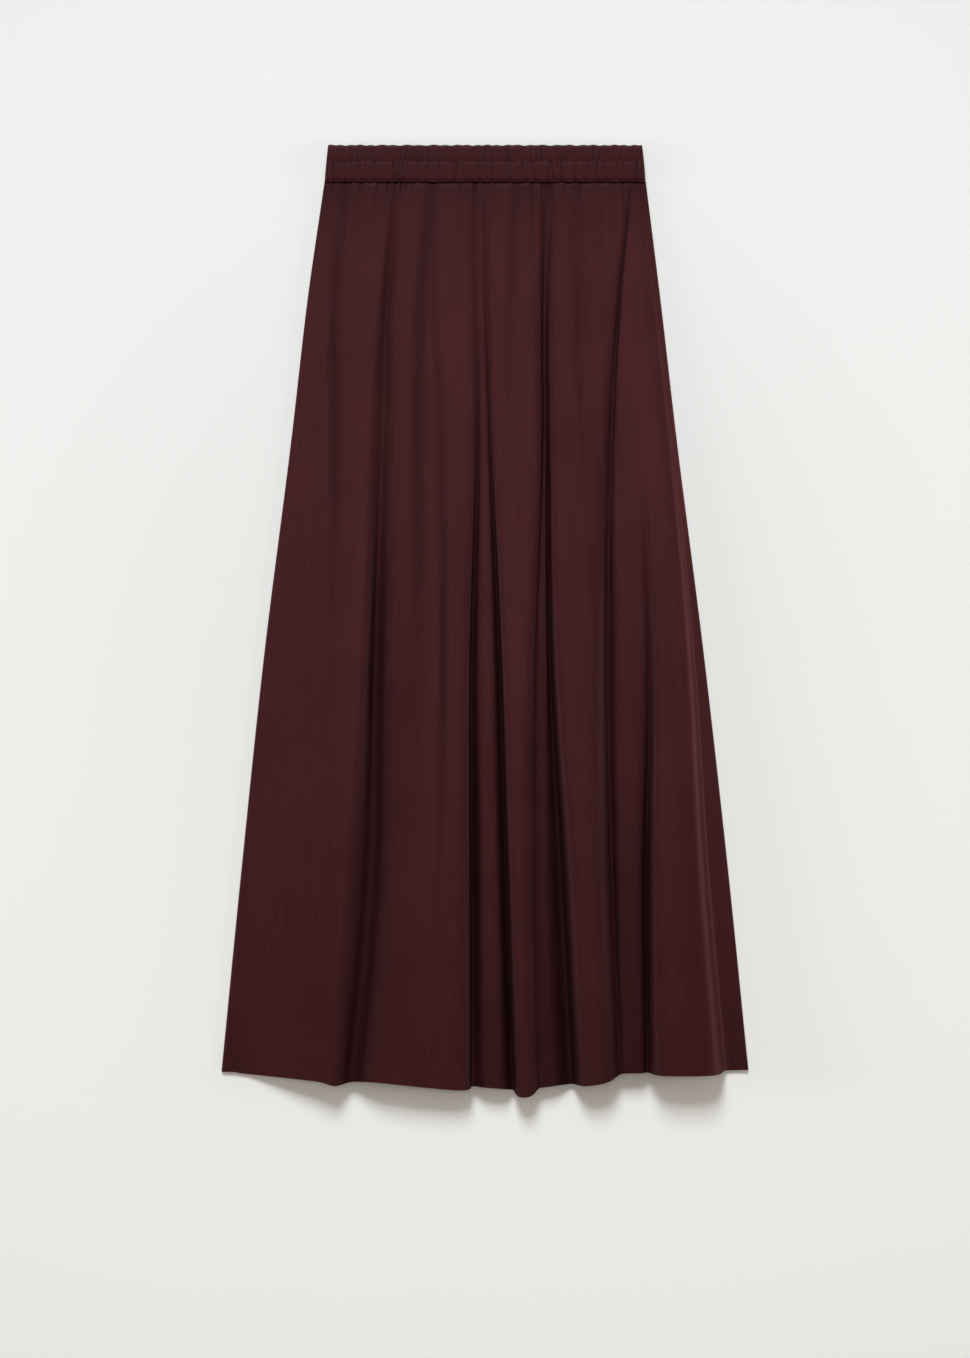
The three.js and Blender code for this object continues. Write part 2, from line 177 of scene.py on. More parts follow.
# Wine-red viscose woven with a satin face: close smooth dyed threads. Part of the light scatters
# evenly and part comes back as a broad gloss in the colour of the dye, so flat tops are brightest.
satin = {
    "base": "#3a191c",
    "light": "#3e1b1e",
    "dark": "#36171a",
    "roughness": 0.55,
    "metallic": 0.35,
    "specular": 0.05,
    "sheen": 0.03,
    "sheenTint": "#b07a80",
    "threadPitch": 0.9,  # mm; the real threads are 0.15 mm apart, too fine to show here
    "slubWidth": 2.4,
    "slubLength": 42,
    "bump": 0.16,
    "paintedFoldShade": 0.87,  # painted shade: how much of the colour is taken away in the deepest folds
    "flank": 0.6,  # painted shade: how much colour is taken away where a steep flank faces more of the dark cloth
    "flankReach": 60,  # mm from the side edge, within which a flank still faces the light paper and gets less painted shade
    "paintedCasingShade": 0.76,  # painted shade: the closely gathered waistband is made darker than the skirt, for the shade in its gathers
}


def alongStations(values, v):
    # Cubic curve through the values at the stations, its slope at each the mean of both sides.
    values = np.asarray(values, float)
    knots = np.array(stations, float)
    slope = np.diff(values, axis=-1) / np.diff(knots)
    inner = (slope[..., 1:] + slope[..., :-1]) / 2
    tangent = np.concatenate([slope[..., :1], inner, slope[..., -1:]], axis=-1)
    i = np.clip(np.searchsorted(knots, v, side="left") - 1, 0, len(stations) - 2)
    step = knots[i + 1] - knots[i]
    p = (v - knots[i]) / step
    q = 1 - p
    return (values[..., i] * q * q * (1 + 2 * p) + values[..., i + 1] * p * p * (3 - 2 * p)
            + step * p * q * (tangent[..., i] * q - tangent[..., i + 1] * p))


def splineWeights(u, count):
    # Uniform cubic B-spline: which four control points each u reads, and with what weights.
    i = np.minimum(np.floor(u).astype(int), count - 2)
    f = u - i
    weights = np.stack([(1 - f) ** 3, 3 * f ** 3 - 6 * f * f + 4, -3 * f ** 3 + 3 * f * f + 3 * f + 1, f ** 3]) / 6
    index = np.clip(i[None, :] - 1 + np.arange(4)[:, None], 0, count - 1)
    return index, weights


def frontControls(v):
    # Six control points to a fold, from its left foot over its crest, for every row v at once.
    left = alongStations(panels["left"], v)
    right = alongStations(panels["right"], v)
    width = right - left
    floor = alongStations(panels["floor"], v)
    one = np.ones_like(v)
    feet = []
    for i, line in enumerate(foldLines):
        inset = panels["curl"] * ((i == 0) - (i == len(foldLines) - 1))
        feet.append({"x": left + width * alongStations(line["at"], v) + inset,
                     "lift": alongStations(line["lift"], v), "tuck": alongStations(line["tuck"], v),
                     "hem": line["hem"] * one})
    xs, zs, hems = [], [], []

    def put(x, z, extra):
        xs.append(x)
        zs.append(floor + z)
        hems.append(extra)

    for i, fold in enumerate(foldTable):
        a, b = feet[i], feet[i + 1]
        across = b["x"] - a["x"]
        height = alongStations(fold["height"], v)
        rise, fall = (alongStations(fold[side] * np.ones(6), v) for side in ("rise", "fall"))
        hemLeft, hemRight = fold["hem"]
        towardsLeft, towardsRight = np.maximum(0, -a["tuck"]), np.maximum(0, b["tuck"])
        leanLeft = panels["grip"] * towardsLeft / (towardsLeft + 2)
        leanRight = panels["grip"] * towardsRight / (towardsRight + 2)
        put(a["x"] - a["tuck"], a["lift"], a["hem"])
        put(a["x"] + 0.5 * rise * across - leanLeft, 0.5 * (a["lift"] + height), 0.6 * a["hem"] + 0.4 * hemLeft)
        put(a["x"] + rise * across, 0.04 * a["lift"] + 0.96 * height, 0.2 * a["hem"] + 0.8 * hemLeft)
        put(a["x"] + (0.5 + 0.5 * (rise - fall)) * across, height, 0.5 * (hemLeft + hemRight) * one)
        put(b["x"] - fall * across, 0.04 * b["lift"] + 0.96 * height, 0.2 * b["hem"] + 0.8 * hemRight)
        put(b["x"] - 0.5 * fall * across + leanRight, 0.5 * (b["lift"] + height),
            0.6 * b["hem"] + 0.4 * hemRight)
    put(feet[-1]["x"], 0 * one, feet[-1]["hem"])
    return {"x": np.stack(xs, 1), "z": np.stack(zs, 1), "hem": np.stack(hems, 1),
            "left": left, "right": right, "width": width, "floor": floor}


def gatherRelief(x, shares, v):
    # A sum of troughs and low ridges with rounded sides: each runs down a line of constant share,
    # is deepest under the band and dies away over its own length.
    rng = np.random.default_rng(gathers["seed"])
    down = v[:, None] * panels["length"]
    relief = np.zeros_like(x)
    count = int(337 / gathers["spacing"])
    places = (np.arange(count) + 0.5 + rng.uniform(-0.32, 0.32, count)) / count
    for place in places:
        depth = gathers["depth"] * rng.uniform(0.35, 1.3)
        wide = gathers["width"] * rng.uniform(0.7, 1.5)
        reach = gathers["reach"] * rng.gamma(1.6, 0.6)
        drift = rng.normal(0, 1.5)
        away = ((shares - place) * 337 - drift * down / 60) / (wide * (1 + down / 90))
        relief -= depth * np.exp(-away ** 2 - down / (reach + 4))
    count = int(337 / gathers["fineSpacing"])
    for place in (np.arange(count) + 0.5 + rng.uniform(-0.4, 0.4, count)) / count:
        away = (shares - place) * 337 / (gathers["fineWidth"] * rng.uniform(0.7, 1.5) * (1 + down / 120))
        reach = gathers["fineReach"] * rng.uniform(0.4, 2.2)
        relief -= gathers["fineDepth"] * rng.uniform(0.4, 1.3) * np.exp(-away ** 2 - down / reach)
    for k in range(gathers["softCount"]):
        place = rng.uniform(0.02, 0.98)
        depth = gathers["softDepth"] * rng.uniform(-1.2, 1.2)
        wide = gathers["softWidth"] * rng.uniform(0.5, 1.3)
        start, reach = rng.uniform(-60, 240), gathers["softReach"] * rng.uniform(0.4, 1.5)
        bend = rng.normal(0, 5) * np.sin(down / rng.uniform(130, 260) + rng.uniform(0, 6))
        away = ((shares - place) * (337 + 0.23 * down) - bend) / wide
        fade = np.exp(-((down - start - reach / 2) / (reach / 2)) ** 4)
        relief += depth * np.exp(-away ** 2) * fade
    return relief


def normalsOf(points):
    # Cross product of the steps across and along the grid, scaled to length one.
    across = np.gradient(points, axis=1)
    along = np.gradient(points, axis=0)
    normals = np.cross(along, across)
    return normals / np.maximum(np.linalg.norm(normals, axis=2, keepdims=True), 1e-9)


def sideTurn(edgeX, edgeZ, levelX, levelZ, steps):
    # Quarter of an ellipse from the seam at the side up to the level cloth.
    turn = np.linspace(0, 1, steps, endpoint=False) * math.pi / 2
    return (edgeX[:, None] + (levelX - edgeX)[:, None] * (1 - np.cos(turn)),
            edgeZ[:, None] + (levelZ - edgeZ)[:, None] * np.sin(turn))


def frontSheet(v):
    # The outside of the front: the spline's sections, pinched at the waist seam, with creases and
    # gathers pressed into them, and a quarter turn down to the side seam at each end.
    controls = frontControls(v)
    u = np.concatenate([6 * (i + np.arange(fold["columns"]) / fold["columns"])
                        for i, fold in enumerate(foldTable)] + [[6 * len(foldTable)]])
    index, weights = splineWeights(u, 6 * len(foldTable) + 1)
    x, z, extra = [np.einsum("rkc,kc->rc", controls[key][:, index], weights) for key in ("x", "z", "hem")]
    floor, width = controls["floor"][:, None], controls["width"][:, None]
    down = v[:, None] * panels["length"]
    z = floor + (z - floor) * (1 - np.exp(-(down + 4) / panels["swell"]))
    inside = np.clip(np.minimum(x - controls["left"][:, None], controls["right"][:, None] - x) / 12, 0, 1)
    shares = (x - controls["left"][:, None]) / width
    relief, tone = gatherRelief(x, shares, v), np.ones_like(x)
    # each crease paints shade into the colour where its share is above zero, and a highlight where it is below
    for crease in creases:
        place = alongStations(crease["at"], v)[:, None]
        away = (shares - place) * width / crease["width"]
        relief -= alongStations(crease["depth"], v)[:, None] * np.exp(-away ** 2)
        tone *= 1 - alongStations(crease["share"], v)[:, None] * np.exp(-away ** 2)
    z = z + relief * inside - panels["tuckIn"] * np.exp(-(down / 2.2) ** 2)
    seam = alongStations(panels["seam"], v)
    leftX, leftZ = sideTurn(controls["left"], seam, x[:, 0], z[:, 0], 6)
    rightX, rightZ = sideTurn(controls["right"], seam, x[:, -1], z[:, -1], 6)
    x = np.concatenate([leftX, x, rightX[:, ::-1]], 1)
    z = np.concatenate([leftZ, z, rightZ[:, ::-1]], 1)
    extra = np.pad(extra, ((0, 0), (6, 6)), "edge")
    y = seamY - v[:, None] * (panels["length"] + extra)
    return np.stack([x, y, z], 2), np.pad(tone, ((0, 0), (6, 6)), "edge")


def backSheet(v, columns):
    # The outside of the back, which faces down: level on the surface, with folds pressed up from it
    # that follow straight lines down the panel, and small gathers under the band.
    left, right = alongStations(panels["left"], v), alongStations(panels["right"], v)
    width = right - left
    t = np.linspace(0, 1, columns)[None, :]
    x = left[:, None] + panels["curl"] + t * (width - 2 * panels["curl"])[:, None]
    z = np.zeros_like(x)
    for fold in backFolds:
        centre = left + width * (fold["waist"] + (fold["hem"] - fold["waist"]) * v)
        away = np.minimum(1, np.abs(x - centre[:, None]) / fold["width"])
        z += fold["height"] * np.maximum(0, v - 0.12)[:, None] * (1 - away ** 2) ** 2
    fade = np.exp(-v * panels["length"] / 60)[:, None]
    z += fade * np.maximum(0, -np.cos(2 * math.pi * 21 * t)) ** 2
    seam = alongStations(panels["seam"], v)
    leftX, leftZ = sideTurn(left, seam, x[:, 0], z[:, 0], 5)
    rightX, rightZ = sideTurn(right, seam, x[:, -1], z[:, -1], 5)
    x = np.concatenate([leftX, x, rightX[:, ::-1]], 1)
    z = np.concatenate([leftZ, z, rightZ[:, ::-1]], 1)
    y = np.broadcast_to(seamY - v[:, None] * panels["length"], x.shape)
    return np.stack([x, y, z], 2)


def clothCoordinates(points):
    # Distances along the cloth in metres: across it from the left edge, and down it from the waist.
    across = np.linalg.norm(np.diff(points, axis=1), axis=2)
    along = np.linalg.norm(np.diff(points, axis=0), axis=2)
    s = np.concatenate([np.zeros((len(points), 1)), np.cumsum(across, 1)], 1)
    t = np.concatenate([np.zeros((1, points.shape[1])), np.cumsum(along, 0)], 0)
    # Threads run straight down the cloth, so each column keeps its place from the hem row.
    s = np.broadcast_to(s[-1], s.shape)
    return np.stack([s, t], 2) * 0.001


def foldShade(points, reach):
    # How little light falls between folds: the sines of the steepest rise to the left and to the
    # right of each place, multiplied and rooted, so that it is 0 on tops and on single slopes, about
    # a half in a wide valley, and near 1 in a slot or under a lip.
    x, z = points[..., 0], points[..., 2]
    left, right = np.zeros_like(x), np.zeros_like(x)
    for k in range(1, reach):
        rise, run = z[:, :-k] - z[:, k:], x[:, k:] - x[:, :-k]
        left[:, k:] = np.maximum(left[:, k:], np.arctan2(rise, run))
        right[:, :-k] = np.maximum(right[:, :-k], np.arctan2(-rise, run))
    between = np.sqrt(np.sin(np.minimum(left, math.pi / 2)) * np.sin(np.minimum(right, math.pi / 2)))
    between[:, 1:-1] = (between[:, :-2] + 2 * between[:, 1:-1] + between[:, 2:]) / 4
    return between


def gridFaces(rows, columns, start=0, turned=False):
    # Four corners of each cell of a grid, in the order that faces its normal outwards.
    r, c = np.meshgrid(np.arange(rows - 1), np.arange(columns - 1), indexing="ij")
    a = (start + r * columns + c).ravel()
    quads = np.stack([a, a + columns, a + columns + 1, a + 1], 1)
    return quads[:, ::-1] if turned else quads


def meshPiece(name, points, faces, uv=None, sharp=None, tone=None):
    # Puts whole arrays into a mesh in metres, smooth, with its cloth coordinates as a UV map and, as an
    # attribute, the share of its colour that it keeps under the painted shade and highlights of folds and gathers.
    mesh = bpy.data.meshes.new(name)
    mesh.from_pydata((points * 0.001).tolist(), [], faces.tolist())
    if uv is not None:
        layer = mesh.uv_layers.new(name="cloth")
        corners = np.empty(len(mesh.loops), np.int32)
        mesh.loops.foreach_get("vertex_index", corners)
        layer.data.foreach_set("uv", uv[corners].astype(np.float32).ravel())
    if tone is not None:
        mesh.attributes.new("painted_fold_shading", "FLOAT", "POINT").data.foreach_set("value", tone.astype(np.float32))
    mesh.shade_smooth()
    if sharp is not None:
        mesh.set_sharp_from_angle(angle=math.radians(sharp))
    mesh.update()
    piece = bpy.data.objects.new(name, mesh)
    bpy.context.scene.collection.objects.link(piece)
    return piece


def paintedShellShading(outside, normals, facing):
    # Painted shade: the share of its colour that each place keeps, less between folds, less just below the waist
    # seam, more again where the folds open at the hem, and less on a flank, by the power 1.25 of its slope, unless
    # the side edge it faces is near.
    x = outside[..., 0]
    toEdge = np.where(normals[..., 0] > 0, x[:, -1:] - x, x - x[:, :1])
    inner = 1 - np.exp(-(toEdge / satin["flankReach"]) ** 2)
    flank = satin["flank"] * np.abs(normals[..., 0]) ** 1.25 * inner
    down = seamY - outside[..., 1]
    # painted shade just below the waist seam, for the shade in the dense gathers there
    paintedSeamShade = 0.3 * np.exp(-down / 25) + 0.1 * np.exp(-down / 130)
    openEnd = 0.35 * np.exp(-((outside[..., 1] - outside[-1:, :, 1]) / 45) ** 2)
    between = satin["paintedFoldShade"] * (1 - openEnd) * foldShade(outside * [1, 1, facing], 44) ** 1.2
    return (1 - between) * (1 - paintedSeamShade) * (1 - flank)


def clothShell(name, outside, thickness, facing, paintedExtraShading=1):
    # A closed shell of cloth: the outside grid, the same grid moved in along its normals by the
    # thickness of the cloth, and four strips that join their edges.
    rows, columns = outside.shape[:2]
    normals = normalsOf(outside) * facing
    inside = outside - normals * thickness[..., None]
    points = np.concatenate([outside.reshape(-1, 3), inside.reshape(-1, 3)])
    uv = clothCoordinates(outside).reshape(-1, 2)
    count = rows * columns
    grid = np.arange(count).reshape(rows, columns)
    rim = np.concatenate([grid[0, ::-1], grid[1:, 0], grid[-1, 1:], grid[-2:0:-1, -1]])
    after = np.roll(rim, -1)
    strip = np.stack([rim, rim + count, after + count, after], 1)
    faces = np.concatenate([
        gridFaces(rows, columns, 0, facing < 0),
        gridFaces(rows, columns, count, facing > 0),
        strip if facing < 0 else strip[:, ::-1],
    ])
    # painted shade of the shell, times the painted shade and highlights of the creases
    tone = (paintedShellShading(outside, normals, facing) * paintedExtraShading).ravel()
    return meshPiece(name, points, faces, np.concatenate([uv, uv]), 50, np.concatenate([tone, tone]))


def hemThickness(points, v):
    # The cloth is doubled over the last centimetre, with a soft step where the turned edge ends.
    fromHem = (1 - v[:, None]) * panels["length"] * np.ones(points.shape[1])[None, :]
    return panels["cloth"] + hem["thick"] / (1 + np.exp((fromHem - hem["width"]) * 2.5))


def puckered(points, v, seed):
    # Small puckers that the hem's stitching draws into the cloth on both sides of its row.
    rng = np.random.default_rng(seed)
    normals = normalsOf(points)
    s = np.cumsum(np.linalg.norm(np.diff(points[-1], axis=0, prepend=points[-1, :1]), axis=1))
    phase = 2 * math.pi * s / hem["puckerPitch"] + 1.6 * np.sin(s / 31) + 1.1 * np.sin(s / 13 + 2)
    size = 0.6 + 0.4 * np.sin(s / 47 + rng.uniform(0, 6))
    fromHem = (1 - v[:, None]) * panels["length"]
    fade = np.exp(-((fromHem - hem["width"]) / 8) ** 2)
    return points + normals * (hem["pucker"] * size * np.cos(phase))[None, :, None] * fade[..., None]


rowSteps = np.concatenate([
    np.linspace(0, 0.012, 8, endpoint=False), np.linspace(0.012, 0.06, 14, endpoint=False),
    np.linspace(0.06, 0.2, 20, endpoint=False), np.linspace(0.2, 0.975, 58, endpoint=False),
    np.linspace(0.975, 1, 12)])
smoothPoints, paintedCreaseShading = frontSheet(rowSteps)
frontPoints = puckered(smoothPoints, rowSteps, 3)
frontCloth = clothShell("front_cloth", frontPoints, hemThickness(frontPoints, rowSteps), 1, paintedCreaseShading)
backRows = np.concatenate([np.linspace(0, 0.1, 10, endpoint=False), np.linspace(0.1, 0.975, 36, endpoint=False),
                           np.linspace(0.975, 1, 8)])
backPoints = backSheet(backRows, 190)
backCloth = clothShell("back_cloth", backPoints, hemThickness(backPoints, backRows), -1)
print("panels:", len(frontCloth.data.polygons), "and", len(backCloth.data.polygons), "faces")

band = {
    "height": 37.5,
    "thickness": 3.4,
    "gap": 0.05,  # between its front and back halves
    "stitchLine": 0.53,
    "left": {"bottom": -168, "middle": -166.4, "top": -164.4},
    "right": {"bottom": 168, "middle": 166.6, "top": 164.6},
    "columns": 620,
    "spacing": 5.2,  # between gathers
    "depth": 0.75,
    "sharpness": 1.15,
    "seed": 5,
}


def bandSide(side, share):
    # A line from bottom to top that bows through the middle value.
    bow = side["middle"] - (side["bottom"] + side["top"]) / 2
    return side["bottom"] + (side["top"] - side["bottom"]) * share + 4 * bow * share * (1 - share)


def channelShape(share):
    # Height of the casing over its flat inner face: nearly level over both rows of elastic, a little
    # lower along the stitching between them, and rounded down to the seam and to the folded top.
    away = (share - band["stitchLine"]) * band["height"]
    dip = 0.1 * np.exp(-(away / 1.4) ** 2) + 0.03 * np.exp(-(away / 5) ** 2)
    fromSeam, fromTop = share * band["height"], (1 - share) * band["height"]
    bottom = 0.4 * np.exp(-(fromSeam / 1.3) ** 2) + 0.06 * np.exp(-fromSeam / 3)
    top = 0.5 * np.exp(-(fromTop / 1.4) ** 2) + 0.1 * np.exp(-fromTop / 3)
    return 1 - dip - bottom - top


def bandRelief(x, share, seed):
    # Narrow valleys between rounded gathers. Each channel has its own, deepest at its stitched edges,
    # and each leans a little from the vertical.
    rng = np.random.default_rng(seed)
    line = band["stitchLine"]
    relief = np.zeros_like(x)
    for low, high, strength in ((0, line, 1.0), (line, 1, 0.8)):
        q = (share - low) / (high - low)
        within = ((share >= low) & (share < high)) if high < 1 else (share >= low)
        edge = 0.3 + 0.7 * np.abs(2 * q - 1) ** 1.3
        count = int(336 / band["spacing"])
        places = -168 + 336 * (np.arange(count) + 0.5 + rng.uniform(-0.38, 0.38, count)) / count
        for place in places:
            depth = band["depth"] * strength * rng.uniform(0.3, 1.25)
            wide = band["sharpness"] * rng.uniform(0.6, 1.5)
            lean, reach = rng.normal(0, 1.6), rng.uniform(0.55, 1.5)
            away = (x - place - lean * (q - 0.5)) / wide
            relief -= within * depth * np.minimum(1, edge * reach) * np.exp(-away ** 2)
    return relief


def bandHalf(name, outward, seed):
    # Rings along the band: the arched and gathered outer face, then the flat inner face, closed at
    # both ends where the casing narrows to a rounded edge.
    inner = band["thickness"] + band["gap"] * (outward > 0)
    share = np.concatenate([np.linspace(0, 0.06, 5, endpoint=False), np.linspace(0.06, 0.94, 30, endpoint=False),
                            np.linspace(0.94, 1, 6)])
    t = np.linspace(0, 1, band["columns"])[:, None]
    s = share[None, :]
    x = bandSide(band["left"], s) + (bandSide(band["right"], s) - bandSide(band["left"], s)) * t
    fromEnd = np.minimum(t, 1 - t) * 336
    rounding = np.sqrt(1 - np.clip(1 - (fromEnd + 0.4) / 3.5, 0, 1) ** 2)
    relief = bandRelief(x, np.broadcast_to(s, x.shape), seed) * np.clip(fromEnd / 6, 0, 1)
    reach = np.maximum(0.25, band["thickness"] * channelShape(s) * rounding + relief)
    ripple = 0.45 * np.sin(x / 1.9 + 2 * np.sin(x / 23)) + 0.3 * np.sin(x / 4.3 + 1)
    y = seamY + s * band["height"] + 0.8 * ripple * np.exp(-((s - 1) / 0.02) ** 2)
    y = y - (0.5 + 0.4 * ripple) * np.exp(-(s / 0.03) ** 2)
    z = inner + outward * reach
    under = np.stack([np.stack([x[:, k], y[:, k], np.full(len(t), inner)], 1) for k in (-1, 20, 0)], 1)
    points = np.concatenate([np.stack([x, y, z], 2), under], 1)
    along, around = points.shape[:2]
    c, r = np.meshgrid(np.arange(around), np.arange(along - 1))
    a, b = r * around + c, r * around + (c + 1) % around
    quads = np.stack([a, b, b + around, a + around], 2).reshape(-1, 4)
    quads = quads if outward < 0 else quads[:, ::-1]
    first = np.arange(around)
    last = first + (along - 1) * around
    caps = [first[::-1], last] if outward < 0 else [first, last[::-1]]
    uv = np.stack([points[..., 0] * 1.5, points[..., 1] + points[..., 2]], 2).reshape(-1, 2) * 0.001
    mesh = bpy.data.meshes.new(name)
    mesh.from_pydata((points.reshape(-1, 3) * 0.001).tolist(), [], quads.tolist() + [cap.tolist() for cap in caps])
    layer = mesh.uv_layers.new(name="cloth")
    corners = np.empty(len(mesh.loops), np.int32)
    mesh.loops.foreach_get("vertex_index", corners)
    layer.data.foreach_set("uv", uv[corners].astype(np.float32).ravel())
    # painted shade between the gathers and over the whole casing, and a painted light along the waist seam that
    # lightens the shade there
    across = np.swapaxes(points * [1, 1, outward], 0, 1)
    between = satin["paintedFoldShade"] * np.swapaxes(foldShade(across, 12), 0, 1) ** 1.2
    paintedSeamLight = 1 + 0.7 * np.exp(-((points[..., 1] - seamY) / 1.2) ** 2)
    tone = satin["paintedCasingShade"] * (1 - between) * paintedSeamLight
    mesh.attributes.new("painted_fold_shading", "FLOAT", "POINT").data.foreach_set("value", tone.astype(np.float32).ravel())
    mesh.shade_smooth()
    mesh.set_sharp_from_angle(angle=math.radians(60))
    piece = bpy.data.objects.new(name, mesh)
    bpy.context.scene.collection.objects.link(piece)
    return piece, points


frontBand, frontBandPoints = bandHalf("front_waistband", 1, band["seed"])
backBand, backBandPoints = bandHalf("back_waistband", -1, band["seed"] + 1)
print("waistband:", len(frontBand.data.polygons), "faces a half")

stitches = {"length": 2.6, "pitch": 3.3, "radius": 0.16, "sides": 5}


def stitchRow(name, path, normals):
    # One short spindle to a stitch, laid along the path at a steady pitch and half sunk in the cloth.
    steps = np.linalg.norm(np.diff(path, axis=0), axis=1)
    s = np.concatenate([[0], np.cumsum(steps)])
    starts = np.arange(1, s[-1] - stitches["pitch"], stitches["pitch"])
    place = lambda values, d: np.stack([np.interp(d, s, values[:, k]) for k in range(3)], -1)
    shares = np.array([0, 0.12, 0.5, 0.88, 1])
    sizes = np.array([0.15, 0.8, 1, 0.8, 0.15])
    centres = place(path, starts[:, None] + shares * stitches["length"])
    up = place(normals, starts[:, None] + shares * stitches["length"])
    up /= np.linalg.norm(up, axis=2, keepdims=True)
    forward = (centres[:, -1] - centres[:, 0])[:, None, :]
    side = np.cross(forward / np.linalg.norm(forward, axis=2, keepdims=True), up)
    angle = np.linspace(0, 2 * math.pi, stitches["sides"], endpoint=False)
    ring = (side[:, :, None] * np.cos(angle)[:, None] + up[:, :, None] * np.sin(angle)[:, None])
    points = centres[:, :, None] + ring * (stitches["radius"] * sizes)[:, None, None]
    points = points + up[:, :, None] * 0.06
    n, rings, sides = points.shape[:3]
    base = (np.arange(n) * rings * sides)[:, None, None]
    r, c = np.arange(rings - 1)[None, :, None], np.arange(sides)[None, None, :]
    a, b = base + r * sides + c, base + r * sides + (c + 1) % sides
    quads = np.stack([a, b, b + sides, a + sides], 3).reshape(-1, 4)[:, ::-1]
    ends = base[:, 0, 0][:, None] + np.arange(sides)
    caps = ends.tolist() + (ends + (rings - 1) * sides)[:, ::-1].tolist()
    mesh = bpy.data.meshes.new(name)
    mesh.from_pydata((points.reshape(-1, 3) * 0.001).tolist(), [], quads.tolist() + caps)
    mesh.shade_smooth()
    piece = bpy.data.objects.new(name, mesh)
    bpy.context.scene.collection.objects.link(piece)
    return piece


def rowOn(grid, row):
    # The path of a grid's row, with the grid's normals beside it.
    return grid[row], normalsOf(grid)[row]


hemRow = int(np.argmin(np.abs((1 - rowSteps) * panels["length"] - hem["width"])))
path, up = rowOn(frontPoints, hemRow)
frontHemStitches = stitchRow("front_hem_stitches", path[10:-10], up[10:-10])
backHemRow = int(np.argmin(np.abs((1 - backRows) * panels["length"] - hem["width"])))
path, up = rowOn(backPoints, backHemRow)
backHemStitches = stitchRow("back_hem_stitches", path[8:-8] + [0, 0, 0.25], -up[8:-8] * [1, 1, -1])
bandStitches = []
for name, points, outward in (("front_waistband_stitches", frontBandPoints, 1),
                              ("back_waistband_stitches", backBandPoints, -1)):
    column = int(np.argmin(np.abs(points[200, :41, 1] - seamY - band["stitchLine"] * band["height"])))
    path = points[6:-6, column]
    up = np.broadcast_to([0.0, 0.0, float(outward)], path.shape)
    bandStitches.append(stitchRow(name, path, up))
print("stitches made")

# Background paper with painted shade: tones up the sheet from the bottom, darker towards the top where the light
# is stronger, and how much greyer it is in the pool of light.
paper = {"top": "#cdcdcc", "bottom": "#f0efee", "pool": 0.16, "poolSize": 0.9, "roughness": 0.95}


def linearColour(code):
    # sRGB hex to linear red, green, blue and full alpha.
    values = [int(code[i:i + 2], 16) / 255 for i in (1, 3, 5)]
    return [c / 12.92 if c <= 0.04045 else ((c + 0.055) / 1.055) ** 2.4 for c in values] + [1]


def addNode(tree, kind, settings=(), links=()):
    # One node: settings are properties or input values by name, links are input name to output socket.
    node = tree.nodes.new(kind)
    for key, value in dict(settings).items():
        if isinstance(key, int) or key in node.inputs:
            node.inputs[key].default_value = value
        else:
            setattr(node, key, value)
    for key, socket in dict(links).items():
        tree.links.new(socket, node.inputs[key])
    return node


def newMaterial(name):
    material = bpy.data.materials.new(name)
    material.use_nodes = True
    material.node_tree.nodes.clear()
    return material, material.node_tree


